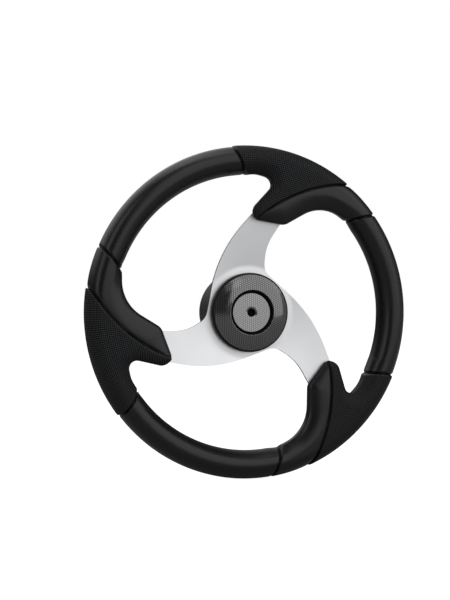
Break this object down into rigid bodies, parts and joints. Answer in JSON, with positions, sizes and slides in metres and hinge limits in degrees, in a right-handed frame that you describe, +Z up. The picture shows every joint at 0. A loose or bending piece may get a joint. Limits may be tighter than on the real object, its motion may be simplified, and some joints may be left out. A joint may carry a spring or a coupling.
{
  "type": "boat steering wheel",
  "caption": "Three-spoke boat steering wheel with a moulded soft grip, swept aluminium arms, a push-in hub cap and a tapered shaft socket.",
  "frame": {"origin": "where the wheel sits on its shaft: on the shaft axis, at the large end of the taper socket, 40 mm behind the middle of the rim's thickness", "axes": "+Y along the shaft axis towards the helm, so the front faces -Y; +Z up and +X right as the helmsman looks at the wheel"},
  "size_m": [0.3208, 0.0591, 0.3207],
  "materials": {
    "soft_grip": "matte moulded, grained",
    "core_steel": "plain",
    "rivet_metal": "plain",
    "plate_metal": "satin anodised",
    "boss_metal": "turned",
    "screw_steel": "plain",
    "skirt_plastic": "fine matte",
    "cap_plastic": "gloss, woven look",
    "spigot_plastic": "plain",
    "insert_plastic": "gloss, woven look",
    "seal_rubber": "plain"
  },
  "bodies": {
    "wheel": {"rim_grip": "soft_grip", "rim_core_ring": "core_steel", "arm_rivets": "rivet_metal", "spoke_plate": "plate_metal", "hub_boss": "boss_metal", "plate_screws": "screw_steel", "plate_washers": "screw_steel", "rear_skirt": "skirt_plastic", "skirt_screws": "screw_steel"},
    "cap": {"hub_cap": "cap_plastic", "cap_spigot": "spigot_plastic", "cap_insert": "insert_plastic", "cap_seal": "seal_rubber"}
  },
  "joints": [
    {"name": "hub_cap_pull", "type": "slide", "parent": "wheel", "child": "cap", "axis": [0, -1, 0], "range_m": [0, 0.03]}
  ]
}
